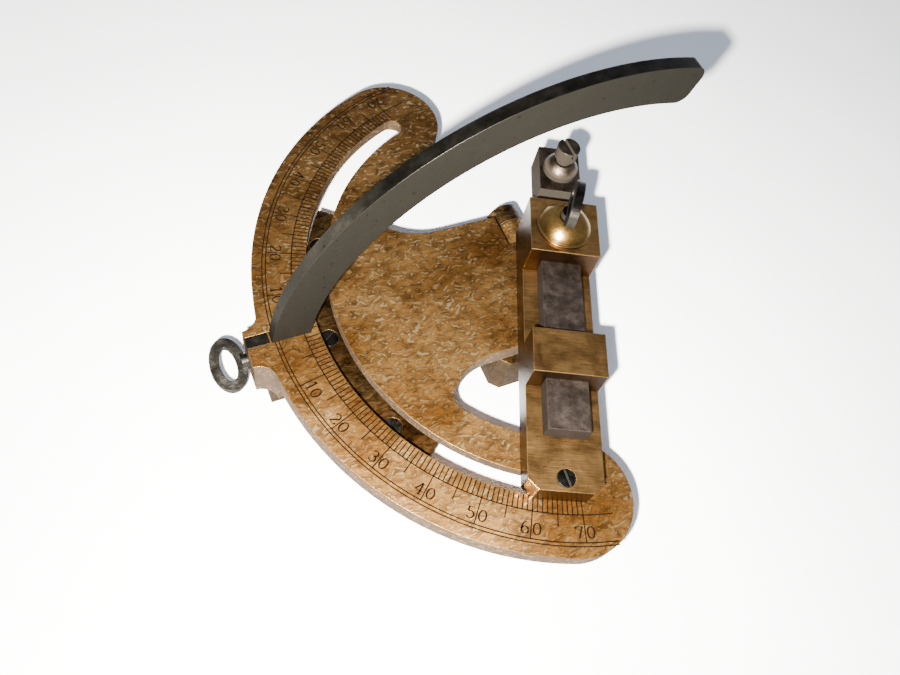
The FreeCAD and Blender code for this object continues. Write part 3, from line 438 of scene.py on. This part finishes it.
FIGURES = {
    0: [bow((0.36, 0.5), (0.3, 0.47), 0, 360)],
    1: [stroke((0.36, 1.0), (0.36, 0.0)), stroke((0.16, 0.84), (0.36, 1.0)),
        stroke((0.16, 0.0), (0.56, 0.0))],
    2: [bow((0.36, 0.72), (0.26, 0.26), 170, -30), stroke((0.58, 0.6), (0.1, 0.04)),
        stroke((0.1, 0.04), (0.64, 0.04)), stroke((0.64, 0.04), (0.66, 0.2))],
    3: [bow((0.34, 0.75), (0.24, 0.23), 150, -90), bow((0.34, 0.27), (0.29, 0.26), 90, -150)],
    4: [stroke((0.48, 1.0), (0.48, 0.0)), stroke((0.48, 1.0), (0.04, 0.3)),
        stroke((0.04, 0.3), (0.68, 0.3)), stroke((0.32, 0.0), (0.64, 0.0))],
    5: [stroke((0.16, 0.97), (0.6, 0.97)), stroke((0.16, 0.97), (0.13, 0.55)),
        bow((0.34, 0.31), (0.29, 0.3), 130, -150)],
    6: [bow((0.36, 0.3), (0.28, 0.29), 0, 360), bow((0.52, 0.38), (0.44, 0.6), 185, 95)],
    7: [stroke((0.06, 0.96), (0.66, 0.96)), stroke((0.66, 0.96), (0.3, 0.0)),
        stroke((0.06, 0.96), (0.06, 0.8))],
}


def punched(value, reading, side, shift):
    """Strokes of one figure laid on the sector, its head towards the centre of the circle.

    The height along a stroke is taken off the radius of the foot, and its width goes round the
    circle the way a reader outside the rim reads.
    """
    laid, widths = [], []
    angle = math.radians(reading)
    outward = np.array([-math.cos(angle), side * math.sin(angle)])
    rightward = np.array([-outward[1], outward[0]])
    for line in FIGURES[value]:
        across = line[:, :1] * FIGURE_HEIGHT + shift
        radius = FOOT_RADIUS - line[:, 1:] * FIGURE_HEIGHT
        laid.append(outward * radius + rightward * across)
        run = np.gradient(line, axis=0)
        steepness = np.abs(run[:, 1]) / np.linalg.norm(run, axis=1)
        widths.append(THIN + (THICK - THIN) * steepness)
    return laid, widths


figure_paths, figure_widths = [], []
for side in (1, -1):
    for tens in range(1, LAST_READING // 10 + 1):
        beside = side == -1 and tens == 1
        first = BESIDE_GAP if beside else -LINE_GAP - FIGURE_SPAN
        second = first + FIGURE_SPAN + (SIDE_BY_SIDE if beside else STRADDLE)
        for value, shift in ((tens, first), (0, second)):
            laid, widths = punched(value, tens * 10, side, shift)
            figure_paths += laid
            figure_widths += widths
inlay("scale_figures", np.stack(figure_paths), np.stack(figure_widths))

# %% [markdown]
# The tool stands on a plain white table.  The table is a faintly clouded matt white, so the
# blue-grey of the shadows shows on it.

# %% Table
def table_paint():
    """Matt white paint with a slow cloud in it."""
    material, tree, where = new_material("matt white paint")
    cloud = add(tree, "TexNoise", {"Vector": where, "Scale": 0.012, "Detail": 3.0})
    colour = ramp(tree, cloud.outputs["Fac"], (0.3, "#eceff1"), (0.7, "#f8f9fa"))
    finish(tree, colour, 0.6, metallic=0.0)
    return material


TABLE_REACH = 1500 * MM
table_mesh = bpy.data.meshes.new("table")
table_corners = [(x * TABLE_REACH, y * TABLE_REACH, 0.0)
                 for x, y in ((-1, -1), (1, -1), (1, 1), (-1, 1))]
table_mesh.from_pydata(table_corners, [], [(0, 1, 2, 3)])
table_mesh.materials.append(table_paint())
table = bpy.data.objects.new("table", table_mesh)
bpy.context.scene.collection.objects.link(table)
print("table reaches", TABLE_REACH, "m each way")

# %% [markdown]
# The main light is one very small warm-white lamp beside the camera, which gives short, crisp
# shadows up and to the right.  A weak wide window behind it and a soft bluish sky fill them.
# The camera looks down at about 59 degrees, and is rolled so that the arm stands upright.

# %% Light and camera
CAMERA_PLACE = (-90.67, -82.01, 173.08)
CAMERA_AIM = (-32.08, -11.11, 18.5)
CAMERA_ROLL = 18.92
LENS = 30.92
LAMP_PLACE = (-102.6, -85.2, 163.2)
WINDOW_PLACE = (-330, -330, 430)
SKY_STRENGTH = 0.55


def lamp(name, place, aim, size, power, tint):
    """A round soft lamp at place, turned to aim."""
    light = bpy.data.lights.new(name, "AREA")
    light.shape = "DISK"
    light.size = size * MM
    light.energy = power
    light.color = linear(tint)[:3]
    holder = bpy.data.objects.new(name, light)
    holder.location = Vector(place) * MM
    holder.rotation_mode = "QUATERNION"
    holder.rotation_quaternion = (Vector(aim) - Vector(place)).to_track_quat("-Z", "Y")
    bpy.context.scene.collection.objects.link(holder)


lamp("camera_lamp", LAMP_PLACE, CAMERA_AIM, size=5, power=6.6, tint="#fffaf2")
lamp("window_behind", WINDOW_PLACE, CAMERA_AIM, size=300, power=1.5, tint="#f1f5ff")

world = bpy.data.worlds.new("soft sky")
bpy.context.scene.world = world
world.use_nodes = True
sky = world.node_tree.nodes["Background"]
sky.inputs["Color"].default_value = linear("#dfeaff")
sky.inputs["Strength"].default_value = SKY_STRENGTH

camera = bpy.data.objects.new("camera", bpy.data.cameras.new("camera"))
camera.data.lens = LENS
camera.data.sensor_width = 36
camera.data.clip_start, camera.data.clip_end = 10 * MM, 5000 * MM
camera.location = Vector(CAMERA_PLACE) * MM
camera.rotation_mode = "QUATERNION"
facing = (Vector(CAMERA_AIM) - Vector(CAMERA_PLACE)).to_track_quat("-Z", "Y")
camera.rotation_quaternion = facing @ Quaternion((0, 0, 1), math.radians(CAMERA_ROLL))
bpy.context.scene.collection.objects.link(camera)
bpy.context.scene.camera = camera
print("camera at", CAMERA_PLACE, "with a lens of", LENS, "mm")
